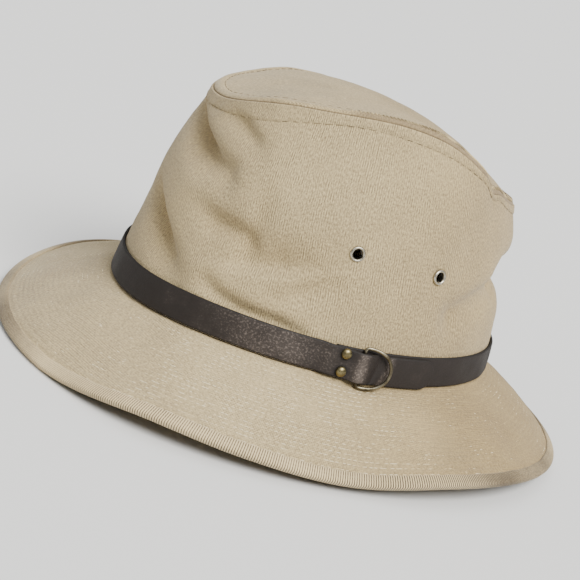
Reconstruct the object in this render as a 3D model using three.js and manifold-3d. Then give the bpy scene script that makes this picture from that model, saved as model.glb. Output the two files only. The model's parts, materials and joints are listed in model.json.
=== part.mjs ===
// A soft cotton fedora with a leather hat band, as an assembly of separate solids.
// Millimetres, +Z up. The front of the hat faces -Y and the wearer's left is +X.
// "Turn" is an angle in degrees round the hat, from the front towards the wearer's left.
// "Rise" is a height on the crown's side, from 0 at the headline to 1 at the tip seam.
import * as THREE from "three";
import { ParametricGeometry } from "three/addons/geometries/ParametricGeometry.js";
import { mergeVertices } from "three/addons/utils/BufferGeometryUtils.js";
import Module from "manifold-3d";

const wasm = await Module();
wasm.setup();

// ---- Driving dimensions -------------------------------------------------------------------

const GAP = 0.3; // clearance between neighbouring pieces
const ORIGIN = { x: 0.2, y: 2.4, z: -34.9 }; // the hat's bottom centre, from the headline's centre

const HEADLINE = { front: 103, back: 107.5, half_width: 82, square_front: 2.0, square_back: 2.1 };
const HEADLINE_LIFT = [-1.4, 1.4, 0.4, -0.5, -1.0, -0.2, 0.8, 0.3]; // every 45 degrees of turn

const CROWN = { wall: 1.5, columns: 60, rows: 13, square_top: 2.06 };
const SEAM_HEIGHT = [104, 114.7, 119.5, 93, 87, 96.5, 110, 103.5]; // every 45 degrees of turn
const CROWN_LEVELS = [
  { front: 103.0, back: 107.5, half_width: 82.0 },
  { front: 100.2, back: 106.0, half_width: 79.6 },
  { front: 97.1, back: 104.0, half_width: 76.4 },
  { front: 95.2, back: 102.5, half_width: 72.6 },
  { front: 89.9, back: 100.0, half_width: 68.0 },
  { front: 83.2, back: 93.3, half_width: 62.8 },
];
const CLOTH = { per_turn: 1.55, per_rise: 103 }; // millimetres of cloth for a degree and for a rise of 1
// Soft valleys: how wide each is above and below its line, and the line's points, each a turn, a rise and a depth.
const CROWN_FOLDS = [
  { name: "pinch", above: 6.5, below: 8.5, line: [[-17, 0.895, 5], [-5, 0.845, 8], [7, 0.78, 8], [17, 0.72, 6], [27, 0.675, 3.4]] },
  { name: "front valley", above: 6.5, below: 8, line: [[-10, 0.465, 4], [-1, 0.405, 7], [9, 0.32, 6], [17, 0.245, 4], [24, 0.17, 1.2]] },
  { name: "side diagonal", above: 6, below: 7, line: [[20, 0.52, 1], [29, 0.465, 4], [37, 0.445, 4.2], [42, 0.42, 3]] },
  { name: "side upright", above: 6, below: 6, line: [[43, 0.43, 1.2], [44, 0.52, 1.6], [43, 0.62, 0.8]] },
  { name: "side level", above: 11, below: 6, line: [[38, 0.31, 1], [46, 0.33, 3.6], [54, 0.352, 4.2], [66, 0.39, 1.6]] },
  { name: "above band", above: 6, below: 6, line: [[33, 0.21, 1], [39, 0.17, 2.6], [47, 0.146, 3], [59, 0.138, 2.8], [66, 0.125, 1.2]] },
  { name: "side rising", above: 6, below: 6, line: [[57, 0.235, 1.2], [63, 0.29, 2.2], [71, 0.345, 1.2]] },
  { name: "corner dent", above: 6, below: 6, line: [[14, 0.94, 1], [23, 0.89, 2.2], [30, 0.83, 2.2], [36, 0.79, 0.8]] },
  { name: "back dent", above: 11, below: 11, line: [[142, 0.58, 10], [180, 0.6, 10]] },
  { name: "back diagonal", above: 8, below: 8, line: [[140, 0.56, 4], [112, 0.33, 4]] },
  { name: "right pinch", above: 9, below: 9, line: [[-68, 0.84, 4], [-48, 0.66, 4]] },
  { name: "right back", above: 10, below: 10, line: [[-150, 0.5, 4], [-118, 0.36, 4]] },
];
const TIP = { wall: 1.5, dome: 16.5, forward: 2.0, rings: 5 };

const BRIM = { width: 60.4, wall: 1.5, tuck: 1.9, rings: 5 };
const BRIM_SLOPE_INNER = [26.8, 24.7, 22.4, 25.4, 24.0, 23.2]; // degrees, every 60 degrees of turn
const BRIM_SLOPE_OUTER = [
  38.4, 36.6, 25.0, 30.4, 35.8, 23.4, 24.8, 33.2, 37.2,
  39.0, 37.4, 34.0, 31.4, 30.0, 29.6, 26.2, 30.8, 35.4,
]; // degrees, every 20 degrees of turn
const BINDING = { width: 6.5, tape: 0.8, corner: 0.9, foot: 2.0 };

const BAND = { width: 15.3, leather: 1.5, above_headline: 0.75, off_crown: 0.35 };
const LAP = { under_end: 77, ramp: 5, over_bar: 1.0, off_bar: 4.2, end: 107.5, fine: 1.1 }; // turns
const TONGUE = { drop: 1.0, drop_from: 96, drop_to: 101, rounded: 4.2, round_power: 2.5, narrowing: 0.8 };
const RING = { turn: 85, half_height: 9.5, depth: 14.2, wire: 1.7, corner: 1.5, shift: 0.45, tilt: 12.5 };
const RING_MESH = { sides: 8, steps: 40 };
const RIVET = { turn: 79.6, apart: 9.0, cap: 5.4, dome: 1.5, rim: 0.5, shank: 2.2 };
const EYELET = { outer: 7.8, hole: 4.7, barrel: 5.5, flange: 0.6, back_gap: 0.4, roll: 0.35 };
const ROUND_SIDES = 14; // of a rivet, an eyelet and a drilled hole
const DRILL_LENGTH = 10;
const EYELETS = [
  { name: "eyelet_left_front", turn: 75, rise: 0.49 },
  { name: "eyelet_left_back", turn: 102, rise: 0.49 },
  { name: "eyelet_right_front", turn: -75, rise: 0.49 },
  { name: "eyelet_right_back", turn: -102, rise: 0.49 },
];

const COTTON = { color: 0xc3b79d, roughness: 0.95, metalness: 0 };
const TAPE = { color: 0xb9ac92, roughness: 0.95, metalness: 0 };
const LEATHER = { color: 0x4b4340, roughness: 0.7, metalness: 0 };
const BRASS = { color: 0x9a8a5e, roughness: 0.4, metalness: 1 };
const NICKEL = { color: 0xb5ad9c, roughness: 0.35, metalness: 1 };

// ---- Curves through short tables ----------------------------------------------------------

const radians = THREE.MathUtils.degToRad;

function catmullRom(a, b, c, d, f) {
  return b + 0.5 * f * (c - a + f * (2 * a - 5 * b + 4 * c - d + f * (3 * (b - c) + d - a)));
}

// The value at a turn, from a table of equal steps round the hat.
function round(table, turn) {
  const n = table.length;
  const at = (((turn % 360) + 360) % 360) / (360 / n);
  const i = Math.floor(at);
  const pick = (k) => table[(i + k + n) % n];
  return catmullRom(pick(-1), pick(0), pick(1), pick(2), at - i);
}

// The value of a column at a rise, from the table of levels.
function level(column, rise) {
  const last = CROWN_LEVELS.length - 1;
  const at = THREE.MathUtils.clamp(rise, 0, 1) * last;
  const i = Math.min(Math.floor(at), last - 1);
  const pick = (k) => CROWN_LEVELS[THREE.MathUtils.clamp(i + k, 0, last)][column];
  return catmullRom(pick(-1), pick(0), pick(1), pick(2), at - i);
}

// A point of a rounded oval with its own reach to the front and the back.
function oval(size, squareFront, squareBack, turn) {
  const s = Math.sin(radians(turn));
  const c = Math.cos(radians(turn));
  const power = 2 / THREE.MathUtils.lerp(squareFront, squareBack, (1 - c) / 2);
  const reach = c > 0 ? size.front : size.back;
  const x = size.half_width * Math.sign(s) * Math.abs(s) ** power;
  const y = -reach * Math.sign(c) * Math.abs(c) ** power;
  return new THREE.Vector2(x, y);
}

// ---- The headline, crown and brim as surfaces ---------------------------------------------

function headline(turn) {
  return oval(HEADLINE, HEADLINE.square_front, HEADLINE.square_back, turn);
}

function outward(turn) {
  const step = 0.5;
  const along = headline(turn + step).sub(headline(turn - step)).normalize();
  return new THREE.Vector2(along.y, -along.x);
}

const lift = (turn) => round(HEADLINE_LIFT, turn);
const innerSlope = (turn) => radians(round(BRIM_SLOPE_INNER, turn));
const outerSlope = (turn) => radians(round(BRIM_SLOPE_OUTER, turn));

// How far the folds push the crown's cloth in, where they are drawn as soft valleys.
function foldDepth(turn, rise) {
  const place = (t, r) => new THREE.Vector2(t * CLOTH.per_turn, r * CLOTH.per_rise);
  let depth = 0;
  for (const fold of CROWN_FOLDS) {
    let deepest = 0;
    for (let i = 1; i < fold.line.length; i++) {
      const [turn_a, rise_a, depth_a] = fold.line[i - 1];
      const [turn_b, rise_b, depth_b] = fold.line[i];
      const a = place(turn_a, rise_a);
      const ab = place(turn_b, rise_b).sub(a);
      const middle = (turn_a + turn_b) / 2;
      const near = middle + ((((turn - middle + 180) % 360) + 360) % 360) - 180;
      const ap = place(near, rise).sub(a);
      const along = THREE.MathUtils.clamp(ap.dot(ab) / ab.lengthSq(), 0, 1);
      const side = ab.cross(ap) / ab.length();
      const width = THREE.MathUtils.lerp(fold.below, fold.above, THREE.MathUtils.smoothstep(side, -1.5, 1.5));
      const away = ap.distanceTo(ab.multiplyScalar(along)) / width;
      deepest = Math.max(deepest, THREE.MathUtils.lerp(depth_a, depth_b, along) * Math.exp(-away * away));
    }
    depth += deepest;
  }
  return depth;
}

// A point of the crown without its folds, moved out along the level normal by an offset.
function smoothCrown(turn, rise, offset) {
  const size = {
    front: level("front", rise),
    back: level("back", rise),
    half_width: level("half_width", rise),
  };
  const front = THREE.MathUtils.lerp(HEADLINE.square_front, CROWN.square_top, rise);
  const back = THREE.MathUtils.lerp(HEADLINE.square_back, CROWN.square_top, rise);
  const point = oval(size, front, back, turn);
  point.addScaledVector(outward(turn), offset);
  return new THREE.Vector3(point.x, point.y, lift(turn) + rise * round(SEAM_HEIGHT, turn));
}

const crownPoint = (turn, rise, offset) => smoothCrown(turn, rise, offset - foldDepth(turn, rise));

// A point of the brim: along its slope from the headline, and off its top surface.
function brimPoint(turn, along, off) {
  const inner = innerSlope(turn);
  const bend = outerSlope(turn) - inner;
  const slope = inner + (bend * Math.max(along, 0)) / BRIM.width;
  let out = along * Math.cos(inner);
  let down = along * Math.sin(inner);
  if (along > 0) {
    out = (BRIM.width * (Math.sin(slope) - Math.sin(inner))) / bend;
    down = (BRIM.width * (Math.cos(inner) - Math.cos(slope))) / bend;
  }
  out += off * Math.sin(slope);
  const height = lift(turn) - down + off * Math.cos(slope);
  const point = headline(turn).addScaledVector(outward(turn), out);
  return new THREE.Vector3(point.x, point.y, height + resting(turn, along));
}

const UNDERSIDE = -(BRIM.wall + GAP + BINDING.tape);

// The brim's edge is pressed up where it would dip below the surface that it rests on.
function resting(turn, along) {
  if (along <= 0) return 0;
  const inner = innerSlope(turn);
  const outer = outerSlope(turn);
  const bend = outer - inner;
  const down = (BRIM.width * (Math.cos(inner) - Math.cos(outer))) / bend;
  const lowest = lift(turn) - down + UNDERSIDE * Math.cos(outer);
  return Math.max(0, ORIGIN.z - lowest) * (along / BRIM.width) ** 2;
}

// ---- Solids from closed sections ----------------------------------------------------------

// Keeps only positions, joins equal vertices and drops the triangles that closed up at a pole.
function closed(geometry) {
  geometry.deleteAttribute("normal");
  geometry.deleteAttribute("uv");
  const merged = mergeVertices(geometry, 1e-4);
  const index = merged.index.array;
  const kept = [];
  for (let i = 0; i < index.length; i += 3) {
    const corners = index.slice(i, i + 3);
    if (new Set(corners).size === 3) kept.push(...corners);
  }
  return merged.setIndex(kept);
}

// A solid swept round the hat: sectionAt(turn) gives one closed section as a list of points.
function ringSolid(sectionAt, columns) {
  const sections = [];
  for (let i = 0; i < columns; i++) sections.push(sectionAt((i * 360) / columns));
  const sides = sections[0].length;
  const surface = (u, v, target) => {
    const column = Math.round(v * columns) % columns;
    target.copy(sections[column][Math.round(u * sides) % sides]);
  };
  return closed(new ParametricGeometry(surface, sides, columns));
}

// A solid swept between two ends: sections is a list of closed sections, and both ends are capped.
function barSolid(sections) {
  const sides = sections[0].length;
  const centre = (section) => {
    const sum = section.reduce((a, p) => a.add(p), new THREE.Vector3());
    return sum.divideScalar(section.length);
  };
  const first = sections[0];
  const last = sections[sections.length - 1];
  const point = (section) => section.map(() => centre(section));
  const rows = [point(first), ...sections, point(last)];
  const surface = (u, v, target) => {
    const row = Math.round(v * (rows.length - 1));
    target.copy(rows[row][Math.round(u * sides) % sides]);
  };
  return closed(new ParametricGeometry(surface, sides, rows.length - 1));
}

function toManifold(geometry) {
  const vertProperties = new Float32Array(geometry.getAttribute("position").array);
  const triVerts = new Uint32Array(geometry.index.array);
  return new wasm.Manifold(new wasm.Mesh({ numProp: 3, vertProperties, triVerts }));
}

function fromManifold(solid) {
  const mesh = solid.getMesh();
  const geometry = new THREE.BufferGeometry();
  geometry.setAttribute("position", new THREE.BufferAttribute(mesh.vertProperties, 3));
  return geometry.setIndex(new THREE.BufferAttribute(mesh.triVerts, 1));
}

// ---- Crown --------------------------------------------------------------------------------

function crownSection(turn) {
  const height = round(SEAM_HEIGHT, turn);
  const topRise = 1 - (TIP.wall + GAP) / height;
  const section = [];
  for (let i = 0; i <= CROWN.rows; i++) {
    const rise = (topRise * i) / CROWN.rows;
    section.push(crownPoint(turn, rise, 0));
  }
  for (let i = CROWN.rows; i >= 0; i--) {
    const rise = (topRise * i) / CROWN.rows;
    section.push(crownPoint(turn, rise, -CROWN.wall));
  }
  // The lower edge follows the slope of the brim that it stands on.
  const slope = innerSlope(turn);
  section[0].z += GAP / Math.cos(slope);
  section[section.length - 1].z += GAP / Math.cos(slope) + CROWN.wall * Math.tan(slope);
  return section.reverse();
}

function tipPoint(turn, share, below) {
  const rim = crownPoint(turn, 1, 0);
  const domed = 1 - share ** 2;
  const edge = TIP_LEVEL + (rim.z - TIP_LEVEL) * share ** 2;
  const swell = TIP.dome + TIP.forward * share * Math.cos(radians(turn));
  return new THREE.Vector3(rim.x * share, rim.y * share, edge + swell * domed - below);
}

const TIP_LEVEL = meanRim();

function meanRim() {
  let sum = 0;
  for (let i = 0; i < CROWN.columns; i++) sum += crownPoint((i * 360) / CROWN.columns, 1, 0).z;
  return sum / CROWN.columns;
}

function tipSection(turn) {
  const section = [];
  for (let i = 0; i <= TIP.rings; i++) section.push(tipPoint(turn, i / TIP.rings, 0));
  for (let i = TIP.rings; i >= 0; i--) section.push(tipPoint(turn, i / TIP.rings, TIP.wall));
  return section;
}

// The tip is a disc: its sections start and end on its middle.
function tipSolid() {
  const last = 2 * TIP.rings + 1;
  const surface = (u, v, target) => {
    const turn = (Math.round(v * CROWN.columns) % CROWN.columns) * (360 / CROWN.columns);
    target.copy(tipSection(turn)[Math.round(u * last)]);
  };
  return closed(new ParametricGeometry(surface, last, CROWN.columns));
}

// ---- Brim and its binding -----------------------------------------------------------------

function brimSection(turn) {
  const end = BRIM.width - BINDING.tape - GAP;
  const section = [brimPoint(turn, -BRIM.tuck, 0)];
  for (let i = 0; i <= BRIM.rings; i++) section.push(brimPoint(turn, (end * i) / BRIM.rings, 0));
  for (let i = BRIM.rings; i >= 0; i--) {
    section.push(brimPoint(turn, (end * i) / BRIM.rings, -BRIM.wall));
  }
  section.push(brimPoint(turn, -BRIM.tuck, -BRIM.wall));
  return section;
}

function bindingSection(turn) {
  const edge = BRIM.width;
  const inner = edge - BINDING.width;
  const slot = edge - BINDING.tape;
  const top = GAP + BINDING.tape;
  const corner = BINDING.corner;
  const foot = [
    [edge - corner / 2, UNDERSIDE],
    [edge - BINDING.foot, UNDERSIDE],
  ].map(([along, off]) => brimPoint(turn, along, off));
  // Where the edge rests, its underside is flat.
  if (resting(turn, edge) > 0) foot.forEach((point) => point.setZ(ORIGIN.z));
  const over = [
    [inner, top], [edge - corner, top], [edge, top - corner], [edge, UNDERSIDE + corner],
  ].map(([along, off]) => brimPoint(turn, along, off));
  const under = [
    [inner, UNDERSIDE], [inner, UNDERSIDE + BINDING.tape], [slot, UNDERSIDE + BINDING.tape],
    [slot, GAP], [inner, GAP],
  ].map(([along, off]) => brimPoint(turn, along, off));
  return [...over, ...foot, ...under];
}

// ---- Leather band -------------------------------------------------------------------------

const LAYER = GAP + BAND.leather; // one layer of leather and the gap under it

// Three directions at a turn of the band: its lower edge on the crown, up its width, and off the crown.
function bandFrame(turn) {
  const height = round(SEAM_HEIGHT, turn);
  const low = smoothCrown(turn, BAND.above_headline / height, 0);
  const up = smoothCrown(turn, (BAND.above_headline + BAND.width) / height, 0).sub(low).normalize();
  const level = outward(turn);
  const out = new THREE.Vector3(level.x, level.y, 0);
  out.addScaledVector(up, -out.dot(up)).normalize();
  return { low, up, out };
}

// How far the band's inner face stands off the crown. In its second turn it climbs over its own
// start, and again over the ring's bar.
function bandStand(turn) {
  const second = turn - 360;
  const step = THREE.MathUtils.smoothstep;
  const climb = step(second, LAP.under_end - LAP.ramp, LAP.under_end - 0.5);
  const over = step(second, RING.turn - LAP.off_bar, RING.turn - LAP.over_bar);
  const down = step(second, RING.turn + LAP.over_bar, RING.turn + LAP.off_bar);
  return BAND.off_crown + LAYER * climb + (RING.wire + GAP) * (over - down);
}

// The strap is level at first. Past the ring its end hangs a little lower, and it is rounded.
function bandSection(turn) {
  const { low, up, out } = bandFrame(turn);
  const stand = bandStand(turn);
  const second = turn - 360;
  const drop = TONGUE.drop * THREE.MathUtils.smoothstep(second, TONGUE.drop_from, TONGUE.drop_to);
  const past = Math.max(0, second - LAP.end + TONGUE.rounded) / TONGUE.rounded;
  const narrow = 1 - Math.sqrt(Math.max(0, 1 - past ** TONGUE.round_power));
  const inset = TONGUE.narrowing * narrow * (BAND.width / 2);
  const point = (high, off) => low.clone().addScaledVector(up, high).addScaledVector(out, stand + off);
  const bottom = inset - drop;
  const top = BAND.width - inset - drop;
  return [point(bottom, 0), point(top, 0), point(top, BAND.leather), point(bottom, BAND.leather)];
}

// One strap: it starts hidden behind the ring, goes round the hat's back, right and front, passes
// over its own start and the ring's bar, dips under the ring's arc and ends in a tongue.
function bandSolid() {
  const coarse = 360 / CROWN.columns;
  const last = 360 + LAP.end;
  const lapped = 360 + LAP.under_end - LAP.ramp;
  const turns = [LAP.under_end];
  const start = Math.ceil(LAP.under_end / coarse) * coarse;
  for (let turn = start; turn < lapped - 1; turn += coarse) turns.push(turn);
  for (let turn = lapped; turn < last - LAP.fine / 2; turn += LAP.fine) turns.push(turn);
  turns.push(last);
  return barSolid(turns.map(bandSection));
}

// ---- Ring, rivets and eyelets -------------------------------------------------------------

// A group whose +Z leaves the hat, +Y runs up the band and +X runs round it, towards the back.
function placedOnBand(turn, high, off) {
  const { low, up, out } = bandFrame(turn);
  const group = new THREE.Group();
  const side = new THREE.Vector3().crossVectors(up, out);
  group.setRotationFromMatrix(new THREE.Matrix4().makeBasis(side, up, out));
  group.position.copy(low).addScaledVector(up, high).addScaledVector(out, off);
  return group;
}

// The ring lies in its own XY plane, with its straight bar on the Y axis through the origin.
function ringCurve() {
  const h = RING.half_height;
  const r = RING.corner;
  const path = new THREE.Path();
  path.moveTo(0, 0);
  path.lineTo(0, h - r);
  path.absarc(r, h - r, r, Math.PI, Math.PI / 2, true);
  path.lineTo(r + RING.corner, h);
  path.bezierCurveTo(RING.depth * 0.72, h, RING.depth, h * 0.55, RING.depth, 0);
  path.bezierCurveTo(RING.depth, -h * 0.55, RING.depth * 0.72, -h, r + RING.corner, -h);
  path.lineTo(r, -h);
  path.absarc(r, r - h, r, -Math.PI / 2, -Math.PI, true);
  path.lineTo(0, 0);
  return path;
}

function ringGeometry() {
  const { sides, steps } = RING_MESH;
  const points = ringCurve().getSpacedPoints(steps).slice(0, -1);
  const sections = points.map((point, i) => {
    const before = points[(i - 1 + points.length) % points.length];
    const after = points[(i + 1) % points.length];
    const along = after.clone().sub(before).normalize();
    const section = [];
    for (let k = 0; k < sides; k++) {
      const angle = ((k + 0.5) * 2 * Math.PI) / sides;
      const across = (RING.wire / 2) * Math.cos(angle);
      const high = (RING.wire / 2) * Math.sin(angle);
      section.push(new THREE.Vector3(point.x - along.y * across, point.y + along.x * across, high));
    }
    return section;
  });
  const surface = (u, v, target) => {
    const row = Math.round(v * points.length) % points.length;
    target.copy(sections[row][Math.round(u * sides) % sides]);
  };
  return closed(new ParametricGeometry(surface, sides, points.length));
}

// A domed cap on a shank that goes through both layers of the band. Z is 0 on the band's face.
function rivetGeometry() {
  const cap = RIVET.cap / 2;
  const shank = RIVET.shank / 2;
  const foot = -(2 * BAND.leather + GAP);
  const shoulder = GAP + RIVET.rim;
  const profile = [[0, foot], [shank, foot], [shank, GAP], [cap, GAP], [cap, shoulder]];
  const steps = 5;
  for (let i = 1; i < steps; i++) {
    const angle = (i / steps) * (Math.PI / 2);
    profile.push([cap * Math.cos(angle), shoulder + RIVET.dome * Math.sin(angle)]);
  }
  profile.push([0, shoulder + RIVET.dome]);
  return turned(profile);
}

// A rolled flange outside, a barrel through the cloth and a washer inside. Z is 0 on the cloth.
function eyeletGeometry() {
  const outer = EYELET.outer / 2;
  const hole = EYELET.hole / 2;
  const barrel = EYELET.barrel / 2;
  const roll = EYELET.roll;
  const washer = -(CROWN.wall + EYELET.back_gap);
  const foot = washer - EYELET.flange;
  const crest = GAP + EYELET.flange + roll;
  return turned([
    [hole, foot], [outer - roll, foot], [outer - roll, washer], [barrel, washer], [barrel, GAP],
    [outer, GAP], [outer - roll / 2, GAP + roll], [(outer + hole + roll) / 2, crest],
    [hole + roll, crest - roll / 2], [hole, GAP], [hole, foot],
  ]);
}

// A turned solid whose axis is Z, from a profile of radius and height.
function turned(profile) {
  const points = profile.map(([radius, height]) => new THREE.Vector2(radius, height));
  return closed(new THREE.LatheGeometry(points, ROUND_SIDES)).rotateX(Math.PI / 2);
}

// A group on the crown whose +Z leaves the cloth and whose +Y runs up it.
function placedOnCrown(turn, rise) {
  const near = 2;
  const round = crownPoint(turn + near, rise, 0).sub(crownPoint(turn - near, rise, 0)).normalize();
  const high = rise + near / CLOTH.per_rise;
  const up = crownPoint(turn, high, 0).sub(crownPoint(turn, rise, 0)).normalize();
  const out = new THREE.Vector3().crossVectors(round, up).normalize();
  const side = new THREE.Vector3().crossVectors(up, out);
  const group = new THREE.Group();
  group.setRotationFromMatrix(new THREE.Matrix4().makeBasis(side, up, out));
  group.position.copy(crownPoint(turn, rise, 0));
  return group;
}

function drill(diameter, group) {
  const radius = diameter / 2;
  const cutter = closed(new THREE.CylinderGeometry(radius, radius, DRILL_LENGTH, ROUND_SIDES));
  cutter.rotateX(Math.PI / 2);
  group.updateMatrixWorld(true);
  return toManifold(cutter.applyMatrix4(group.matrixWorld));
}

// ---- Assembly -----------------------------------------------------------------------------

const fedora = new THREE.Group();
const hat = new THREE.Group();
hat.position.set(-ORIGIN.x, -ORIGIN.y, -ORIGIN.z);
fedora.add(hat);

function addPiece(parent, name, geometry, look) {
  const mesh = new THREE.Mesh(geometry, new THREE.MeshStandardMaterial(look));
  mesh.name = name;
  parent.add(mesh);
  return mesh;
}

const eyelets = EYELETS.map((row) => ({ name: row.name, group: placedOnCrown(row.turn, row.rise) }));
const riveted = BAND.off_crown + LAYER + BAND.leather; // the face of the band's two layers
const rivets = [
  { name: "rivet_upper", high: (BAND.width + RIVET.apart) / 2 },
  { name: "rivet_lower", high: (BAND.width - RIVET.apart) / 2 },
].map((row) => ({ name: row.name, group: placedOnBand(RIVET.turn, row.high, riveted) }));

let crownSide = toManifold(ringSolid(crownSection, CROWN.columns));
for (const { group } of eyelets) {
  crownSide = crownSide.subtract(drill(EYELET.barrel + 2 * GAP, group));
}
let band = toManifold(bandSolid());
for (const { group } of rivets) {
  band = band.subtract(drill(RIVET.shank + 2 * GAP, group));
}

addPiece(hat, "crown_side", fromManifold(crownSide), COTTON);
addPiece(hat, "crown_tip", tipSolid(), COTTON);
addPiece(hat, "brim", ringSolid(brimSection, CROWN.columns), COTTON);
addPiece(hat, "brim_binding", ringSolid(bindingSection, CROWN.columns), TAPE);
addPiece(hat, "hat_band", fromManifold(band), LEATHER);
for (const { name, group } of rivets) {
  addPiece(group, name, rivetGeometry(), BRASS);
  hat.add(group);
}
for (const { name, group } of eyelets) {
  addPiece(group, name, eyeletGeometry(), NICKEL);
  hat.add(group);
}

// The ring's bar lies between the band's layers, and its arc leans off the crown to clear the tongue.
const barStand = BAND.off_crown + LAYER + RING.wire / 2;
const hinge = placedOnBand(RING.turn, BAND.width / 2 + RING.shift, barStand);
const leaning = new THREE.Group();
leaning.rotation.y = -radians(RING.tilt);
addPiece(leaning, "d_ring", ringGeometry(), BRASS);
hinge.add(leaning);
hat.add(hinge);

export default fedora;
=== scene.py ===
"""A soft cotton fedora with a leather strap, a ring, rivets and eyelets, made round its packed frame.

Sizes in the tables are millimetres in the hat's own frame: the middle of the headline is the origin,
the front faces -Y and the wearer's left is +X. "Turn" is an angle in degrees round the hat, from the
front towards the wearer's left, and "rise" runs up the crown from 0 at the headline to 1 at its seam.
"""

import json
import math

import bmesh
import bpy
import numpy as np
from bpy.props import FloatProperty, FloatVectorProperty, IntProperty, PointerProperty
from bpy.types import Operator, Panel, PropertyGroup
from mathutils import Matrix, Vector


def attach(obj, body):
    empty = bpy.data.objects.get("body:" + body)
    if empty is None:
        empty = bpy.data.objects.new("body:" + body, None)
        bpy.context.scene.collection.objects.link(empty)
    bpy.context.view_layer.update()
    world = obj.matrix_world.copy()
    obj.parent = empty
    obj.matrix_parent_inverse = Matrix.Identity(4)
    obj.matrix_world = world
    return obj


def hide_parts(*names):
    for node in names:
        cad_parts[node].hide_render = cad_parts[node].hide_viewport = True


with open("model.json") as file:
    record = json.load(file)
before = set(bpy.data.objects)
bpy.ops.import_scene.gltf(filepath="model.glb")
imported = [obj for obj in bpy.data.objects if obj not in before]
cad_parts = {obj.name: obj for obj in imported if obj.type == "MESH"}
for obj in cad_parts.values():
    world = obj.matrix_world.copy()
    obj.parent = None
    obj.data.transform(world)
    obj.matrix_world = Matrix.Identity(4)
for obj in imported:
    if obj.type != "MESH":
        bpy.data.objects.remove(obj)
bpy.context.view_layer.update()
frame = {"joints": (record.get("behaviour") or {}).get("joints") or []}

bl_info = {
    "name": "Cotton fedora",
    "version": (1, 0, 0),
    "blender": (4, 5, 0),
    "location": "3D View > Sidebar > Fedora",
    "description": "Makes a cotton fedora with a leather strap, piece by piece",
    "category": "Add Mesh",
}

# ---- The hat's shape ------------------------------------------------------------------------

MM = 0.001
GAP = 0.3
ORIGIN = np.array([0.2, 2.4, -34.9])

HEADLINE = {"front": 103.0, "back": 107.5, "half_width": 82.0, "square_front": 2.0, "square_back": 2.1}
HEADLINE_LIFT = [-1.4, 1.4, 0.4, -0.5, -1.0, -0.2, 0.8, 0.3]
SQUARE_TOP = 2.06
CROWN_WALL = 1.5
SEAM_HEIGHT = [104, 114.7, 119.5, 93, 87, 96.5, 110, 103.5]
LEVEL_FRONT = [103.0, 100.2, 97.1, 95.2, 89.9, 83.2]
LEVEL_BACK = [107.5, 106.0, 104.0, 102.5, 100.0, 93.3]
LEVEL_HALF_WIDTH = [82.0, 79.6, 76.4, 72.6, 68.0, 62.8]
PER_TURN, PER_RISE = 1.55, 103.0  # millimetres of cloth for a degree and for a rise of 1

# Soft valleys of the crown: how wide each is above its line and below it, and the line's points, each
# a turn, a rise and a depth.
CROWN_FOLDS = [
    (4.5, 8.5, [(-17, 0.895, 5), (-5, 0.845, 8), (7, 0.78, 8), (17, 0.72, 6), (27, 0.675, 3.4)]),
    (5.5, 8, [(-10, 0.465, 4), (-1, 0.405, 7), (9, 0.32, 6), (17, 0.245, 4), (24, 0.17, 1.2)]),
    (4.6, 7, [(20, 0.52, 1), (29, 0.465, 4), (37, 0.445, 4.2), (42, 0.42, 3)]),
    (5, 6, [(43, 0.43, 1.2), (44, 0.52, 1.9), (43, 0.62, 0.9)]),
    (11, 2.6, [(38, 0.31, 1.4), (46, 0.333, 5), (54, 0.354, 6), (66, 0.39, 2.4)]),
    (3.2, 3.4, [(33, 0.215, 1.2), (39, 0.172, 3.2), (47, 0.147, 4.2), (59, 0.139, 4.2), (66, 0.126, 2)]),
    (5, 5, [(57, 0.235, 1.6), (63, 0.29, 3), (71, 0.345, 1.8)]),
    (3.4, 5, [(14, 0.94, 1.4), (23, 0.89, 2.6), (30, 0.83, 2.6), (36, 0.79, 1)]),
    (11, 11, [(142, 0.58, 10), (180, 0.6, 10)]),
    (8, 8, [(140, 0.56, 4), (112, 0.33, 4)]),
    (9, 9, [(-68, 0.84, 4), (-48, 0.66, 4)]),
    (10, 10, [(-150, 0.5, 4), (-118, 0.36, 4)]),
]
# Sharper creases along them.
CROWN_CREASES = [
    (2.0, 4, [(-15, 0.91, 0.8), (-3, 0.86, 2.2), (7, 0.8, 2.4), (17, 0.74, 1.4), (26, 0.695, 0.5)]),
    (2.2, 4, [(-7, 0.475, 1.2), (1, 0.42, 2.4), (10, 0.34, 1.8), (19, 0.26, 0.7)]),
    (2.2, 4, [(27, 0.49, 0.4), (36, 0.46, 1.2), (41, 0.44, 0.8)]),
    (1.8, 3, [(17, 0.94, 0.6), (24, 0.895, 1.2), (32, 0.835, 0.6)]),
    (3.4, 3.4, [(140, 0.6, 0.9), (120, 0.46, 0.9), (110, 0.34, 0.7)]),
]
TIP = {"wall": 1.5, "dome": 16.5, "forward": 2.0}

BRIM = {"width": 60.4, "wall": 1.5, "tuck": 1.9, "first_row": 3.0}
BRIM_SLOPE_INNER = [26.8, 24.7, 22.4, 25.4, 24.0, 23.2]
BRIM_SLOPE_OUTER = [
    38.4, 36.6, 25.0, 30.4, 35.8, 23.4, 24.8, 33.2, 37.2,
    39.0, 37.4, 34.0, 31.4, 30.0, 29.6, 26.2, 30.8, 35.4,
]
BINDING = {"width": 6.5, "tape": 0.8, "to_row": 0.9}
UNDERSIDE = -(BRIM["wall"] + GAP + BINDING["tape"])

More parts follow.
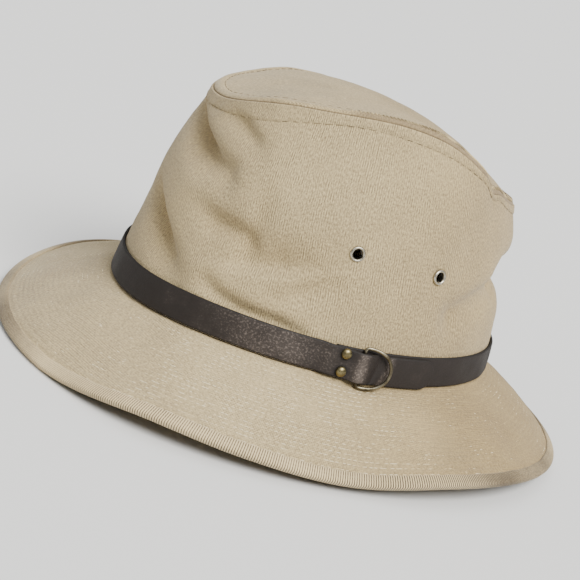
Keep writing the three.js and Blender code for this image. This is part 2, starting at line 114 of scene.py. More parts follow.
BAND = {"width": 15.3, "leather": 1.5, "above_headline": 0.75, "off_crown": 0.35}
LAYER = GAP + BAND["leather"]
LAP = {"under_end": 77.0, "ramp": 5.0, "over_bar": 1.0, "off_bar": 4.2, "end": 107.5}
TONGUE = {"drop": 1.0, "drop_from": 74.0, "drop_to": 86.0, "rounded": 4.2, "power": 2.5, "narrowing": 0.8}
RING = {
    "turn": 85.0, "half_height": 10.0, "depth": 15.2, "wire": 1.7,
    "corner": 1.5, "shift": 0.45, "hang": 1.3, "tilt": 12.5,
}
RIVET = {"turn": 79.6, "apart": 9.0, "cap": 5.4, "dome": 1.5, "rim": 0.5}
EYELET = {"outer": 7.8, "hole": 4.7, "barrel": 5.5, "cut": 2.4, "flange": 0.6, "back_gap": 0.4, "roll": 0.35}
RIVETS = {
    "rivet_upper": (BAND["width"] + RIVET["apart"]) / 2,
    "rivet_lower": (BAND["width"] - RIVET["apart"]) / 2,
}
EYELETS = {
    "eyelet_left_front": (75, 0.49),
    "eyelet_left_back": (102, 0.49),
    "eyelet_right_front": (-75, 0.49),
    "eyelet_right_back": (-102, 0.49),
}

# Angles are degrees and the distance metres.
SUN = {"azimuth": 96, "elevation": 47, "width": 34, "colour": (1.0, 0.985, 0.95)}
VIEW = {
    "azimuth": 58.0, "elevation": 17.97, "roll": 19.79, "distance": 0.78894,
    "lens": 93.1, "sensor": 36, "shift": (-0.0172, 0.0355),
}


def catmull_rom(a, b, c, d, f):
    return b + 0.5 * f * (c - a + f * (2 * a - 5 * b + 4 * c - d + f * (3 * (b - c) + d - a)))


def around(table, turn):
    """The value at a turn, from a table of equal steps round the hat."""
    values = np.asarray(table, float)
    at = np.mod(turn, 360.0) / (360.0 / len(values))
    i = np.floor(at).astype(int)
    return catmull_rom(*(values[(i + k) % len(values)] for k in (-1, 0, 1, 2)), at - i)


def level(column, rise):
    """The value at a rise, from a table of equal steps up the crown."""
    values = np.asarray(column, float)
    last = len(values) - 1
    at = np.clip(rise, 0, 1) * last
    i = np.minimum(np.floor(at).astype(int), last - 1)
    return catmull_rom(*(values[np.clip(i + k, 0, last)] for k in (-1, 0, 1, 2)), at - i)


def step(x, low, high):
    """0 below low, 1 above high and smooth between them."""
    t = np.clip((x - low) / (high - low), 0, 1)
    return t * t * (3 - 2 * t)


def bump(x, middle, width):
    """1 in the middle, fading to 0 on both sides."""
    return np.exp(-(((x - middle) / width) ** 2))


def unit(vectors):
    return vectors / np.linalg.norm(vectors, axis=-1, keepdims=True)


def wrapped(angle):
    """The same angle, from -180 to 180."""
    return np.mod(angle + 180, 360) - 180


def run_along(points):
    """How far along a line each of its points lies."""
    return np.concatenate([[0], np.cumsum(np.linalg.norm(np.diff(points, axis=0), axis=1))])


def oval(front, back, half_width, square_front, square_back, turn):
    """A level outline that reaches further back than forwards, and is squarer than an ellipse."""
    s, c = np.sin(np.radians(turn)), np.cos(np.radians(turn))
    power = 2 / (square_front + (square_back - square_front) * (1 - c) / 2)
    reach = np.where(c > 0, front, back)
    x = half_width * np.sign(s) * np.abs(s) ** power
    return np.stack([x, -reach * np.sign(c) * np.abs(c) ** power], -1)


def headline(turn):
    return oval(turn=turn, **HEADLINE)


def outward(turn):
    """The level direction off the headline."""
    along = unit(headline(turn + 0.5) - headline(turn - 0.5))
    return np.stack([along[..., 1], -along[..., 0]], -1)


def lift(turn):
    return around(HEADLINE_LIFT, turn)


def fold_depth(turn, rise, folds):
    """How far a list of folds pushes the crown's cloth in."""
    depth = np.zeros(np.broadcast(turn, rise).shape)
    for above, below, points in folds:
        deepest = np.zeros(depth.shape)
        for (turn_a, rise_a, deep_a), (turn_b, rise_b, deep_b) in zip(points, points[1:]):
            middle = (turn_a + turn_b) / 2
            near = middle + wrapped(turn - middle)
            x, y = (near - turn_a) * PER_TURN, (rise - rise_a) * PER_RISE
            dx, dy = (turn_b - turn_a) * PER_TURN, (rise_b - rise_a) * PER_RISE
            run = math.hypot(dx, dy)
            along = np.clip((x * dx + y * dy) / run**2, 0, 1)
            side = (dx * y - dy * x) / run
            width = below + (above - below) * step(side, -1.5, 1.5)
            away = ((x - dx * along) ** 2 + (y - dy * along) ** 2) / width**2
            deepest = np.maximum(deepest, (deep_a + (deep_b - deep_a) * along) * np.exp(-away))
        depth = depth + deepest
    return depth


def smooth_crown(turn, rise, offset):
    """A point of the crown without folds, moved off it by an offset."""
    sizes = [level(column, rise) for column in (LEVEL_FRONT, LEVEL_BACK, LEVEL_HALF_WIDTH)]
    front = HEADLINE["square_front"] + (SQUARE_TOP - HEADLINE["square_front"]) * rise
    back = HEADLINE["square_back"] + (SQUARE_TOP - HEADLINE["square_back"]) * rise
    flat = oval(*sizes, front, back, turn) + outward(turn) * np.expand_dims(offset, -1)
    return np.concatenate([flat, np.expand_dims(lift(turn) + rise * around(SEAM_HEIGHT, turn), -1)], -1)


def crown_point(turn, rise):
    """A point of the crown with its soft folds."""
    return smooth_crown(turn, rise, -fold_depth(turn, rise, CROWN_FOLDS))


def inner_slope(turn):
    return np.radians(around(BRIM_SLOPE_INNER, turn))


def outer_slope(turn):
    return np.radians(around(BRIM_SLOPE_OUTER, turn))


def resting(turn, along):
    """How far the brim's edge is pressed up by the surface that it rests on."""
    inner, outer = inner_slope(turn), outer_slope(turn)
    down = BRIM["width"] * (np.cos(inner) - np.cos(outer)) / (outer - inner)
    lowest = lift(turn) - down + UNDERSIDE * np.cos(outer)
    return np.maximum(0, ORIGIN[2] - lowest) * (np.maximum(along, 0) / BRIM["width"]) ** 2


def brim_point(turn, along, off):
    """A point along the brim's slope from the headline, and off its top."""
    inner = inner_slope(turn)
    bend = outer_slope(turn) - inner
    slope = inner + bend * np.maximum(along, 0) / BRIM["width"]
    reach = BRIM["width"] / bend
    out = np.where(along > 0, reach * (np.sin(slope) - np.sin(inner)), along * np.cos(inner))
    down = np.where(along > 0, reach * (np.cos(inner) - np.cos(slope)), along * np.sin(inner))
    flat = headline(turn) + outward(turn) * np.expand_dims(out + off * np.sin(slope), -1)
    height = lift(turn) - down + off * np.cos(slope) + resting(turn, along)
    return np.concatenate([flat, np.expand_dims(height, -1)], -1)


def band_frame(turn):
    """The band's lower edge on the crown, the direction up its width and the one off the crown."""
    height = around(SEAM_HEIGHT, turn)
    low = smooth_crown(turn, BAND["above_headline"] / height, 0)
    up = unit(smooth_crown(turn, (BAND["above_headline"] + BAND["width"]) / height, 0) - low)
    flat = outward(turn)
    out = np.concatenate([flat, np.zeros(flat.shape[:-1] + (1,))], -1)
    return low, up, unit(out - up * np.sum(out * up, -1, keepdims=True))


def band_stand(turn):
    """How far the band stands off the crown: its second turn climbs over its start and the ring's bar."""
    second, bar = turn - 360, RING["turn"]
    climb = step(second, LAP["under_end"] - LAP["ramp"], LAP["under_end"] - 0.5)
    over = step(second, bar - LAP["off_bar"], bar - LAP["over_bar"])
    down = step(second, bar + LAP["over_bar"], bar + LAP["off_bar"])
    return BAND["off_crown"] + LAYER * climb + (RING["wire"] + GAP) * (over - down)


def to_frame(points):
    """Points of the hat's own frame, in the packed frame and in metres."""
    return (np.asarray(points) - ORIGIN) * MM


def seat(origin, side, up, out):
    """The matrix of a place on the hat, from millimetres with +Z off the hat to the packed frame."""
    turn = Matrix([(side[i] * MM, up[i] * MM, out[i] * MM) for i in range(3)]).to_4x4()
    return Matrix.Translation(Vector(to_frame(origin))) @ turn


def seat_on_band(turn, high, off):
    """The place at a height up the band's width and off the crown."""
    low, up, out = (row[0] for row in band_frame(np.array([float(turn)])))
    return seat(low + up * high + out * off, np.cross(up, out), up, out)


def seat_on_crown(turn, rise):
    """The place on the crown's outer face."""
    turns = np.array([turn + 2.0, turn - 2.0, turn, turn])
    points = crown_point(turns, np.array([rise, rise, rise + 2 / PER_RISE, rise]))
    up = unit(points[2] - points[3])
    out = unit(np.cross(unit(points[0] - points[1]), up))
    return seat(points[3], np.cross(up, out), up, out)


def ripples(points, wavelength, seed):
    """Soft uneven waves through a cloth, from about -1 to 1 and the same on each run."""
    waves = 14
    rng = np.random.default_rng(seed)
    directions = unit(rng.normal(size=(waves, 3)))
    lengths = wavelength * rng.uniform(0.7, 1.5, waves)
    phases = rng.uniform(0, 2 * math.pi, waves)
    total = np.zeros(points.shape[:-1])
    for direction, length, phase in zip(directions, lengths, phases):
        total += np.cos(points @ direction * (2 * math.pi / length) + phase)
    return total / math.sqrt(waves)


# ---- Settings -------------------------------------------------------------------------------


def size(name, description, millimetres):
    return FloatProperty(
        name=name, description=description, default=millimetres * MM, min=0, precision=5, unit="LENGTH"
    )


def colour(name, description, *rgb):
    return FloatVectorProperty(
        name=name, description=description, default=rgb, size=3, min=0, max=1, subtype="COLOR"
    )


class CottonSettings(PropertyGroup):
    """The crown's and the brim's cloth."""

    light: colour("Cotton", "Colour of the cloth's raised yarns", 0.60, 0.472, 0.250)
    dark: colour("Cotton shade", "Colour between the yarns", 0.205, 0.153, 0.077)
    wale: size("Wale", "Distance between two lines of the crown's twill", 1.15)
    weave: size("Weave", "Distance between two crossings of the brim's cloth", 1.05)
    rows: IntProperty(name="Rows", description="Rows of stitching round the brim", default=19, min=2)
    row_pitch: size("Row pitch", "Distance between two rows of stitching on the brim", 2.6)
    channel: size("Channel", "Depth of a stitched row in the brim", 0.2)


class ThreadSettings(PropertyGroup):
    """The sewing threads."""

    light: colour("Light thread", "Colour of the thread round the brim", 0.92, 0.80, 0.56)
    sunk: colour("Sunk thread", "Colour of the light thread where it is sunk in the cloth", 0.66, 0.53, 0.31)
    dark: colour("Dark thread", "Colour of the thread round the crown's top", 0.075, 0.055, 0.032)
    stitch: size("Stitch", "Length of a stitch on the crown, with its gap", 5.0)
    brim_stitch: size("Brim stitch", "Length of a stitch on the brim, with its gap", 3.0)
    thread: size("Thread", "Thickness of the thread", 0.42)


class TapeSettings(PropertyGroup):
    """The ribbed tape round the brim's edge."""

    light: colour("Rib", "Colour of the tape's ribs", 0.66, 0.52, 0.29)
    # The groove colour is painted shade between the ribs.
    dark: colour("Groove", "Colour between the ribs", 0.05, 0.031, 0.013)
    rib: size("Rib pitch", "Distance between two ribs at the edge", 1.2)
    relief: size("Rib height", "Height of a rib", 0.36)


class LeatherSettings(PropertyGroup):
    """The strap."""

    brown: colour("Leather", "Colour of the leather", 0.014, 0.0098, 0.0080)
    worn: colour("Worn leather", "Colour where the leather is rubbed", 0.22, 0.18, 0.155)
    # The edge colour also paints the shadow round each rivet.
    edge: colour("Edge", "Colour of the cut edges", 0.008, 0.006, 0.005)


class MetalSettings(PropertyGroup):
    """The ring, the rivets and the eyelets."""

    brass: colour("Brass", "Colour of polished brass", 0.36, 0.30, 0.15)
    tarnish: colour("Tarnish", "Colour of dulled brass", 0.05, 0.038, 0.02)
    ring: colour("Ring", "Colour of the ring", 0.27, 0.24, 0.17)
    nickel: colour("Eyelet", "Colour of the eyelets", 0.48, 0.44, 0.35)


class StageSettings(PropertyGroup):
    """The floor and the light."""

    floor: colour("Floor", "Colour of the floor", 0.72, 0.72, 0.712)
    floor_size: FloatProperty(
        name="Floor size", description="Length of the floor's side", default=40, unit="LENGTH"
    )
    key: FloatProperty(name="Key light", description="Strength of the key light", default=5.3, min=0)
    fill: FloatProperty(
        name="Fill light", description="Strength of the light from all sides", default=1.3, min=0
    )


# Where the scene keeps each group of settings.
GROUPS = {
    "fedora_cotton": CottonSettings,
    "fedora_thread": ThreadSettings,
    "fedora_tape": TapeSettings,
    "fedora_leather": LeatherSettings,
    "fedora_metal": MetalSettings,
    "fedora_stage": StageSettings,
}

# ---- Materials ------------------------------------------------------------------------------


class Wire:
    """A socket of a material, with the arithmetic that its maths is written in."""

    def __init__(self, surface, socket):
        self.surface, self.socket = surface, socket

    def maths(self, operation, *values):
        return self.surface.node("ShaderNodeMath", {"operation": operation}, dict(enumerate(values)))

    def __add__(self, other):
        return self.maths("ADD", self, other)

    def __sub__(self, other):
        return self.maths("SUBTRACT", self, other)

    def __rsub__(self, other):
        return self.maths("SUBTRACT", other, self)

    def __mul__(self, other):
        return self.maths("MULTIPLY", self, other)

    __radd__, __rmul__ = __add__, __mul__

    def sine(self):
        return self.maths("SINE", self)

    def above(self, low, high):
        """0 below low, 1 above high and smooth between them."""
        sockets = {"Value": self, "From Min": low, "From Max": high, "To Min": 0.0, "To Max": 1.0}
        return self.surface.node("ShaderNodeMapRange", {"interpolation_type": "SMOOTHSTEP"}, sockets)


class Surface:
    """A material in the making."""

    def __init__(self, name):
        self.material = bpy.data.materials.new(name)
        self.material.use_nodes = True
        self.tree = self.material.node_tree
        self.shader = self.tree.nodes["Principled BSDF"]

    def fill(self, node, sockets):
        for key, value in sockets.items():
            if isinstance(value, Wire):
                self.tree.links.new(value.socket, node.inputs[key])
            else:
                node.inputs[key].default_value = value

    def node(self, kind, settings=None, sockets=None, out=0):
        node = self.tree.nodes.new(kind)
        for key, value in (settings or {}).items():
            setattr(node, key, value)
        self.fill(node, sockets or {})
        return Wire(self, node.outputs[out])

    def finish(self, **sockets):
        self.fill(self.shader, {key.replace("_", " "): value for key, value in sockets.items()})
        return self.material

    def mix(self, factor, a, b, blend="MIX"):
        """Two colours mixed: each is three numbers or a wire."""
        a, b = (c if isinstance(c, Wire) else (*c, 1) for c in (a, b))
        settings = {"data_type": "RGBA", "blend_type": blend}
        return self.node("ShaderNodeMix", settings, {0: factor, 6: a, 7: b}, out=2)

    def split(self, vector):
        return [self.node("ShaderNodeSeparateXYZ", None, {0: vector}, out=i) for i in range(3)]

    def attribute(self, name):
        return self.node("ShaderNodeAttribute", {"attribute_name": name}, None, out="Fac")

    def object_place(self):
        return self.node("ShaderNodeTexCoord", None, None, out="Object")

    def cloth_place(self):
        return self.node("ShaderNodeUVMap", {"uv_map": "cloth"})

    def noise(self, place, wavelength, detail=2.0, roughness=0.5, stretch=None):
        """Noise from 0 to 1 with spots about a wavelength apart, in millimetres."""
        if stretch:
            place = self.node("ShaderNodeVectorMath", {"operation": "MULTIPLY"}, {0: place, 1: stretch})
        sockets = {"Vector": place, "Scale": 1 / (wavelength * MM), "Detail": detail, "Roughness": roughness}
        return self.node("ShaderNodeTexNoise", {"noise_dimensions": "3D"}, sockets)

    def bumped(self, height, distance, strength):
        """A normal from a height of 0 to 1, which is a distance in millimetres."""
        sockets = {"Height": height, "Distance": distance * MM, "Strength": strength}
        return self.node("ShaderNodeBump", None, sockets)


def lines(wire, pitch):
    """Waves from -1 to 1 along a coordinate in metres, at a pitch in metres."""
    return (wire * (2 * math.pi / pitch)).sine()


SOIL_AND_SHADE_TINT = (0.71, 0.635, 0.49)  # what the soiling and the painted shade leave of a colour
SEAM_SHADE, SPECK, SLUB = (0.16, 0.11, 0.06), (0.24, 0.17, 0.09), (0.85, 0.75, 0.52)


def finish_cotton(s, base, height, relief):
    """The soiling with painted shade, the painted shade in the seams and the soft nap that both cloths have.
    """
    base = s.mix(s.attribute("soil_and_shade"), base, SOIL_AND_SHADE_TINT, "MULTIPLY")
    base = s.mix(s.attribute("seam"), base, SEAM_SHADE)
    normal = s.bumped(height, relief, 0.8)
    return s.finish(Base_Color=base, Roughness=0.92, Normal=normal, Sheen_Weight=0.15, Sheen_Roughness=0.6)


def make_twill(settings):
    """The crown's cloth: fine broken wales that run up the crown."""
    s = Surface("cotton_twill")
    place = s.cloth_place()
    x, y, _ = s.split(place)
    drift = s.noise(place, 14, 2)
    wale = lines(x + y * 0.1 + (drift - 0.5) * 0.0014, settings.wale)
    broken = s.noise(place, 1.9, 1, 0.5, (1.0, 0.5, 1.0)).above(0.36, 0.6)
    shown = s.noise(place, 20, 3).above(0.4, 0.62) * 0.65 + 0.35
    yarn = s.noise(place, 1.1, 2, 0.65, (1.5, 0.8, 1.0)) - 0.5
    height = wale * broken * shown * 0.3 + yarn * 1.5 + 0.5
    soil_and_shade = s.noise(s.object_place(), 55, 4, 0.6) - 0.5
    factor = height + soil_and_shade * 0.5 - 0.005
    base = s.mix(factor.above(0.0, 1.0), settings.dark, settings.light)
    specks = s.noise(place, 1.9, 0).above(0.76, 0.82) * 0.5
    return finish_cotton(s, s.mix(specks, base, SPECK), height, 0.35)


def make_weave(settings):
    """The brim's and the tip's cloth: a fine crossed weave, cut flat."""
    s = Surface("cotton_weave")
    place = s.object_place()
    x, y, _ = s.split(place)
    drift = (s.noise(place, 16, 2) - 0.5) * 0.0010
    one = lines(x + y * 0.3 + drift, settings.weave)
    other = lines(y - x * 0.3 - drift, settings.weave)
    yarn = s.noise(place, 1.0, 2, 0.65) - 0.5
    shown = s.noise(place, 24, 3).above(0.4, 0.6) * 0.75 + 0.25
    height = (one + other) * shown * 0.14 + yarn * 1.3 + 0.5
    soil_and_shade = s.noise(place, 60, 4, 0.6) - 0.5
    factor = height * 0.8 + soil_and_shade * 0.55 + 0.08
    base = s.mix(factor.above(0.0, 1.0), settings.dark, settings.light)
    slubs = s.noise(place, 2.4, 1).above(0.7, 0.8) * 0.4
    return finish_cotton(s, s.mix(slubs, base, SLUB), height, 0.3)


def weave_of(context):
    """The woven cotton, which the tip and the brim share."""
    return bpy.data.materials.get("cotton_weave") or make_weave(context.scene.fedora_cotton)


def make_tape(settings):
    """The ribbed tape: its ribs are modelled, and an attribute says how high each point of one is, painting
    shade into the grooves and towards the hat's front.
    """
    s = Surface("ribbed_tape")
    place = s.object_place()
    fibre = s.noise(place, 0.6, 2, 0.6)
    soil_and_shade = s.noise(place, 30, 4, 0.6)
    factor = s.attribute("ridge") + (fibre - 0.5) * 0.3 + (soil_and_shade - 0.5) * 0.3
    base = s.mix(factor.above(0.22, 0.85), settings.dark, settings.light)
    return s.finish(Base_Color=base, Roughness=0.85, Normal=s.bumped(fibre, 0.2, 0.6), Sheen_Weight=0.2)


def make_thread(name, tint, sunk, wavelength):
    """Sewing thread, which takes another colour in the places where it is sunk in the cloth."""
    s = Surface(name)
    place = s.object_place()
    fibre = s.noise(place, 0.5, 2, 0.7)
    base = s.mix(fibre, [c * 0.75 for c in tint], [min(1, c * 1.15) for c in tint])
    base = s.mix(s.noise(place, wavelength, 2).above(0.4, 0.62), base, sunk)
    return s.finish(Base_Color=base, Roughness=0.8, Normal=s.bumped(fibre, 0.1, 0.5))


def make_leather(settings):
    """Dark worn leather: one attribute says where it is worn and paints shade in its crease, and another
    where it is a cut edge and paints a shadow round each rivet.
    """
    s = Surface("worn_leather")
    place = s.cloth_place()
    cells = s.node("ShaderNodeTexVoronoi", {"feature": "F1"}, {"Vector": place, "Scale": 900.0})
    grain = s.noise(place, 0.9, 3, 0.65)
    cloud = s.noise(place, 16, 4, 0.65)
    speck = s.noise(place, 1.1, 2, 0.7).above(0.48, 0.68)
    wear = s.attribute("rub_and_shade") + (cloud - 0.45) * 1.2
    factor = wear * 0.34 + speck * wear.above(0.0, 0.6) * 0.3
    base = s.mix(factor.above(0.0, 1.0), settings.brown, settings.worn)
    base = s.mix(s.attribute("edge"), base, settings.edge)
    rough = 0.68 - (cloud - 0.5) * 0.25
    normal = s.bumped(grain * 0.7 + cells * 0.3, 0.25, 0.7)
    return s.finish(Base_Color=base, Roughness=rough, Normal=normal, Specular_IOR_Level=0.35)


def make_metal(name, bright, dull, patina):
    """Old metal, dulled in clouds: a higher patina dulls more of it."""
    s = Surface(name)
    place = s.object_place()
    cloud = s.noise(place, 5, 3, 0.5)
    scratch = s.noise(place, 0.5, 2, 0.6)
    factor = (cloud + patina).above(0.3, 0.8)
    base = s.mix(factor, bright, dull)
    rough = factor * 0.2 + scratch * 0.12 + 0.24
    return s.finish(Base_Color=base, Roughness=rough, Metallic=1.0, Normal=s.bumped(scratch, 0.05, 0.5))


def make_floor(settings):
    """A plain matt floor."""
    s = Surface("pale_floor")
    cloud = s.noise(s.object_place(), 900, 2)
    base = s.mix(cloud * 0.06, settings.floor, [c * 0.8 for c in settings.floor])
    return s.finish(Base_Color=base, Roughness=0.9)


# ---- Making meshes --------------------------------------------------------------------------


def layered(columns, rows, place, marks=()):
    """A grid of columns and rows as a bmesh: place(column, row) gives its points in metres, its cloth
    coordinates in metres, and one list of numbers for each mark."""
    bm = bmesh.new()
    bmesh.ops.create_grid(bm, x_segments=columns, y_segments=rows, size=0.5)
    at = np.array([v.co[:2] for v in bm.verts]) + 0.5
    points, cloth, *values = place(np.rint(at[:, 0] * columns), np.rint(at[:, 1] * rows).astype(int))
    layer = bm.loops.layers.uv.new("cloth")
    for face in bm.faces:
        for loop in face.loops:
            loop[layer].uv = cloth[loop.vert.index]
    for name, column in zip(marks, values):
        layer = bm.verts.layers.float.new(name)
        for vert, value in zip(bm.verts, column):
            vert[layer] = value
    for vert, point in zip(bm.verts, points):
        vert.co = point
    bmesh.ops.remove_doubles(bm, verts=bm.verts, dist=0.002 * MM)
    bmesh.ops.recalc_face_normals(bm, faces=bm.faces)
    return bm


def piece(name, bm, look, nodes, body):
    """The finished mesh as an object that stands for CAD nodes and rides on a body."""
    mesh = bpy.data.meshes.new(name)
    bm.to_mesh(mesh)
    bm.free()
    mesh.polygons.foreach_set("use_smooth", [True] * len(mesh.polygons))
    mesh.materials.append(look)
    made = bpy.data.objects.new(name, mesh)
    bpy.context.scene.collection.objects.link(made)
    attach(made, body)
    if nodes:
        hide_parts(*nodes)


def turned(profile, steps, place):
    """A spun shape from a profile of radius and height in millimetres, set in its place."""
    bm = bmesh.new()
    verts = [bm.verts.new((radius, 0, height)) for radius, height in profile]
    edges = [bm.edges.new(pair) for pair in zip(verts, verts[1:])]
    bmesh.ops.spin(bm, geom=verts + edges, angle=2 * math.pi, steps=steps, axis=(0, 0, 1), use_merge=True)
    bmesh.ops.remove_doubles(bm, verts=bm.verts, dist=0.002)
    bmesh.ops.transform(bm, matrix=place, verts=bm.verts)
    bmesh.ops.recalc_face_normals(bm, faces=bm.faces)
    return bm


def stitches(middles, along, up, length, width, height):
    """Small spindles in a row, as one bmesh: each has a middle, a direction and the way off the cloth."""
    bm = bmesh.new()
    bmesh.ops.create_icosphere(bm, subdivisions=1, radius=1.0)
    shape = np.array([v.co for v in bm.verts])
    counts = (len(bm.verts), len(bm.edges), len(bm.faces))
    made, wanted = 1, len(middles)
    while made < wanted:
        more = min(made, wanted - made)
        geom = [e for seq, n in zip((bm.verts, bm.edges, bm.faces), counts) for e in seq[: n * more]]
        bmesh.ops.duplicate(bm, geom=geom)
        made += more
    side = unit(np.cross(up, along))
    up = np.cross(along, side)
    x, y, z = (shape[:, i] for i in range(3))
    points = (
        middles[:, None]
        + along[:, None] * (x[None, :, None] * np.reshape(length, (-1, 1, 1)) / 2)
        + side[:, None] * (y[None, :, None] * width / 2)
        + up[:, None] * (z[None, :, None] * height / 2)
    )
    for vert, point in zip(bm.verts, to_frame(points.reshape(-1, 3))):
        vert.co = point
    return bm


def stitch_run(surface, pitch, start=0.0, end=360.0, seed=0, jitter=0.06):
    """Even stitches along a line on a surface: their middles, directions, ways off the cloth and turns.

    surface takes turns and a small step aside in millimetres, and returns points."""
    turns = np.linspace(start, end, 1441)
    points = surface(turns, 0.0)
    run = run_along(points)
    count = max(2, int(round(run[-1] / pitch)))
    rng = np.random.default_rng(seed)
    where = (np.arange(count) + 0.5 + rng.uniform(-jitter, jitter, count)) * run[-1] / count
    at = np.interp(where, run, turns)
    middles = surface(at, 0.0)
    along = unit(surface(at + 0.25, 0.0) - surface(at - 0.25, 0.0))
    across = surface(at, 0.4) - surface(at, -0.4)
    return middles, along, unit(np.cross(along, across)), at


# ---- Pieces ---------------------------------------------------------------------------------

COLUMNS = 360
TOPSTITCH_BELOW = [6.0, 8.8, 5.0, 5.6, 3.0, 4.6, 6.2, 6.8, 7.0, 6.5, 6.6, 7.0]
TIP_STITCH_INSET = [6.2, 9.8, 10.4, 6.4, 5.4, 6, 6.2, 6.2, 6.2, 6.2, 6.2, 6.0]
CREST_BELOW = 0.3  # the crown's top edge lies a little lower than the tip's
TIP_LEVEL = float(np.mean(crown_point(np.arange(60) * 6.0, np.ones(60))[:, 2]))  # the rim's mean height
PULLS_ROUND, PUCKERS_ROUND, TIP_PULLS_ROUND = 92, 61, 80
TIP_STITCH = {"pitch": 4.4, "length": 3.7, "off": 0.08}
WHIPPING = {"inward": 2.6, "pitch": 1.9, "length": 3.2, "thick": 0.8, "start": 58, "end": 205, "off": 0.12}


def crown_cloth(turn, rise, off=0.0):
    """The crown's outer face with each fold, crease and ripple, and its topstitching."""
    below = (1 - rise) * around(SEAM_HEIGHT, turn)
    line = around(TOPSTITCH_BELOW, turn)
    smooth = smooth_crown(turn, rise, 0.0)
    shape = -fold_depth(turn, rise, CROWN_FOLDS) - fold_depth(turn, rise, CROWN_CREASES)
    shape *= 0.25 + 0.75 * step(below, 3.0, 11.0)  # the seam stiffens the cloth
    shape += step(rise, 0.1, 0.3) * (0.45 * ripples(smooth, 46, 11) + 0.12 * ripples(smooth, 11, 12))
    # Above the topstitching the cloth is doubled, its stitches pull it in, and it puckers between them.
    shape += 0.35 * step(-below, -line - 0.5, -line + 0.5)
    pull = (0.7 + 0.3 * np.cos(np.radians(turn) * PULLS_ROUND)) * (1 + 0.4 * bump(turn, 4, 10))
    shape -= 0.5 * pull * bump(below, line, 0.9)
    pucker = np.cos(np.radians(turn) * PUCKERS_ROUND + 2 * ripples(smooth, 30, 13))
    shape += 0.15 * bump(below, line - 2.2, 1.6) * pucker
    point = smooth_crown(turn, rise, shape + off)
    point[..., 2] -= 3.2 * bump(turn, 120.5, 3.6) * step(rise, 0.82, 1.0)  # a notch in the rim
    return point


def soil_and_shade_round(turn, fore, aft):
    """How far the cloth is darkened and yellowed round the hat: painted shade near its front, and soiling
    with painted shade over its left side and back.
    """
    turn = np.mod(turn, 360)
    back = step(turn, 55, 125) * step(-turn, -310, -190)
    return 0.35 * fore * bump(wrapped(turn + 15), 0, 40) + aft * back


def in_from_rim(turn, inward, off):
    """The tip's top face, at a distance in from the crown's rim."""
    rim = crown_cloth(turn, np.ones_like(turn))
    reach = np.linalg.norm(rim[..., :2], axis=-1)
    share = np.clip(1 - inward / reach, 0, 1)
    domed = 1 - share**2
    level_share = np.clip((reach - inward) / (reach - CROWN_WALL - 0.6), 0, 1)
    edge = TIP_LEVEL + (rim[..., 2] - TIP_LEVEL) * level_share**2
    swell = TIP["dome"] + TIP["forward"] * share * np.cos(np.radians(turn))
    flat = rim[..., :2] * share[..., None]
    height = edge + swell * domed
    point = np.concatenate([flat, height[..., None]], -1)
    relief = 0.35 * step(share, 0.1, 0.6) * ripples(point, 52, 21) + 0.1 * ripples(point, 13, 22)
    line = around(TIP_STITCH_INSET, turn)
    relief -= 0.3 * bump(inward, line, 0.9) * (0.7 + 0.3 * np.cos(np.radians(turn) * TIP_PULLS_ROUND))
    relief += 0.3 * step(-inward, -line - 0.5, -line + 0.5)
    point[..., 2] += relief * step(inward, 0.5, 2.5) + 0.7 * bump(inward, 3.2, 1.8) + off
    return point


def make_crown(context):
    cotton = context.scene.fedora_cotton
    half = CROWN_WALL / 2
    outer = np.concatenate([np.linspace(0, 0.86, 58, endpoint=False), np.linspace(0.86, 1, 27)])
    roll = np.linspace(0, math.pi, 8)[1:]
    inner = np.linspace(1, 0, 36)[1:]
    rows = len(outer) + len(roll) + len(inner)

    def place(column, row):
        turn = column * 360 / COLUMNS
        height = around(SEAM_HEIGHT, turn)
        top = 1 - (half + CREST_BELOW) / height
        row = row % rows
        share = np.concatenate([outer, np.ones(len(roll)), inner])[row]
        angle = np.concatenate([outer * 0, roll, inner * 0 + math.pi])[row]
        points = crown_cloth(turn, share * top, -half * (1 - np.cos(angle)))
        points[:, 2] += half * np.sin(angle)
        slope = inner_slope(turn)
        foot = GAP / np.cos(slope) + np.where(angle > 3, CROWN_WALL * np.tan(slope), 0)
        points[:, 2] += np.where(share == 0, foot, 0)
        # Painted shade down the inner side of the top roll, in the crevice under the tip's edge.
        seam = 0.7 * step(angle, 2.0, 2.8)
        # Painted shade deepens the fold hollows on the hat's left front, on top of the soiling and painted
        # shade round the hat.
        left_front = step(np.cos(np.radians(turn - 40)), 0.1, 0.5)
        soil_and_shade = soil_and_shade_round(turn, 1.1, 0.5) + 0.06 * left_front * fold_depth(turn, share * top - 0.03, CROWN_FOLDS)
        return to_frame(points), np.stack([column * PER_TURN * MM, share * height * MM], -1), seam, soil_and_shade

    bm = layered(COLUMNS, rows, place, ["seam", "soil_and_shade"])
    for turn, rise in EYELETS.values():
        centre = seat_on_crown(turn, rise)
        into = centre.inverted()
        middles = [(face, into @ face.calc_center_median()) for face in bm.faces]
        close = [face for face, p in middles if abs(p.z) < 4 and math.hypot(p.x, p.y) < EYELET["cut"]]
        bmesh.ops.delete(bm, geom=close, context="FACES")
        loop = [e for e in bm.edges if e.is_boundary and (into @ e.verts[0].co).length < EYELET["outer"]]
        for vert in {v for e in loop for v in e.verts}:
            p = into @ vert.co
            flat = Vector((p.x, p.y)).normalized() * (EYELET["barrel"] / 2 + 0.05)
            vert.co = centre @ Vector((flat.x, flat.y, p.z))
        bmesh.ops.bridge_loops(bm, edges=loop)
    piece("crown_cloth", bm, make_twill(cotton), ["crown_side"], "hat")


